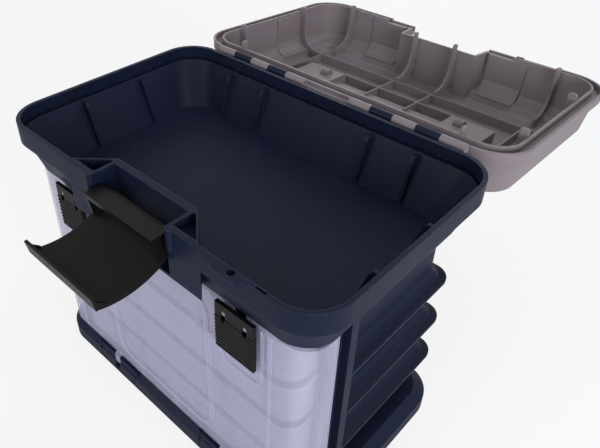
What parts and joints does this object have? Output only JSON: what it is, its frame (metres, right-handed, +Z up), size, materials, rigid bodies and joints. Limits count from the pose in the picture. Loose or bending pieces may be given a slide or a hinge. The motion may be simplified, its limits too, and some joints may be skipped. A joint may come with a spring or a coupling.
{
  "type": "fishing seat box",
  "caption": "Moulded tackle box that doubles as a seat: deep top bin under a hinged lid, and a clear drop-down door in front of a stack of sliding trays.",
  "frame": {"origin": "centre of the base's underside, on the floor", "axes": "+X to the right seen from the front, +Y to the back where the open lid stands, +Z up"},
  "size_m": [0.453, 0.6614, 0.3464],
  "materials": {
    "navy_pp": "fine-textured moulded polypropylene",
    "grey_pp": "fine-textured moulded polypropylene",
    "black_pp": "satin moulded polypropylene",
    "clear_lilac": "translucent moulded plastic, faintly rippled",
    "clear_tray": "clear moulded plastic",
    "steel": "drawn wire, zinc-plated"
  },
  "bodies": {
    "box": {"bin": "navy_pp", "cabinet": "navy_pp", "base": "navy_pp", "base_screws": "steel", "lid_hinge_pins": "steel", "front_latch_pin": "steel", "door_hinge_pins": "steel"},
    "lid": {"lid": "grey_pp", "handle_pins": "steel"},
    "handle": {"handle": "black_pp"},
    "front_latch": {"front_latch": "black_pp"},
    "front_door": {"front_door": "clear_lilac"},
    "door_latch_left": {"door_latch_left": "black_pp"},
    "door_latch_right": {"door_latch_right": "black_pp"},
    "tray_1": {"tray_1": "clear_tray", "tray_1_lid": "clear_tray", "tray_1_catches": "clear_tray", "tray_1_dividers": "clear_tray"},
    "tray_2": {"tray_2": "clear_tray", "tray_2_lid": "clear_tray", "tray_2_catches": "clear_tray", "tray_2_dividers": "clear_tray"},
    "tray_3": {"tray_3": "clear_tray", "tray_3_lid": "clear_tray", "tray_3_catches": "clear_tray", "tray_3_dividers": "clear_tray"},
    "tray_4": {"tray_4": "clear_tray", "tray_4_lid": "clear_tray", "tray_4_catches": "clear_tray", "tray_4_dividers": "clear_tray"}
  },
  "joints": [
    {"name": "lid_hinge", "type": "hinge", "parent": "box", "child": "lid", "pos_m": [0, 0.1495, 0.339], "axis": [1, 0, 0], "range_deg": [0, 184]},
    {"name": "front_latch_hinge", "type": "hinge", "parent": "box", "child": "front_latch", "pos_m": [0, -0.128, 0.32], "axis": [-1, 0, 0], "range_deg": [0, 97]},
    {"name": "front_door_hinge", "type": "hinge", "parent": "box", "child": "front_door", "pos_m": [0, -0.123, 0.02], "axis": [1, 0, 0], "range_deg": [0, 90]},
    {"name": "door_latch_left_slide", "type": "slide", "parent": "front_door", "child": "door_latch_left", "axis": [0, 0, 1], "range_m": [0, 0.006]},
    {"name": "door_latch_right_slide", "type": "slide", "parent": "front_door", "child": "door_latch_right", "axis": [0, 0, 1], "range_m": [0, 0.006]},
    {"name": "handle_fold", "type": "hinge", "parent": "lid", "child": "handle", "pos_m": [0, 0.27871, 0.26581], "axis": [1, 0, 0], "range_deg": [0, 90]},
    {"name": "tray_1_slide", "type": "slide", "parent": "box", "child": "tray_1", "axis": [0, -1, 0], "range_m": [0, 0.029]},
    {"name": "tray_2_slide", "type": "slide", "parent": "box", "child": "tray_2", "axis": [0, -1, 0], "range_m": [0, 0.111]},
    {"name": "tray_3_slide", "type": "slide", "parent": "box", "child": "tray_3", "axis": [0, -1, 0], "range_m": [0, 0.189]},
    {"name": "tray_4_slide", "type": "slide", "parent": "box", "child": "tray_4", "axis": [0, -1, 0], "range_m": [0, 0.189]}
  ],
  "couplings": [
    {"joint": "tray_1_slide", "follows": "front_door_hinge", "m_per_rad": 0.018},
    {"joint": "tray_2_slide", "follows": "front_door_hinge", "m_per_rad": 0.07},
    {"joint": "tray_3_slide", "follows": "front_door_hinge", "m_per_rad": 0.12},
    {"joint": "tray_4_slide", "follows": "front_door_hinge", "m_per_rad": 0.12}
  ]
}
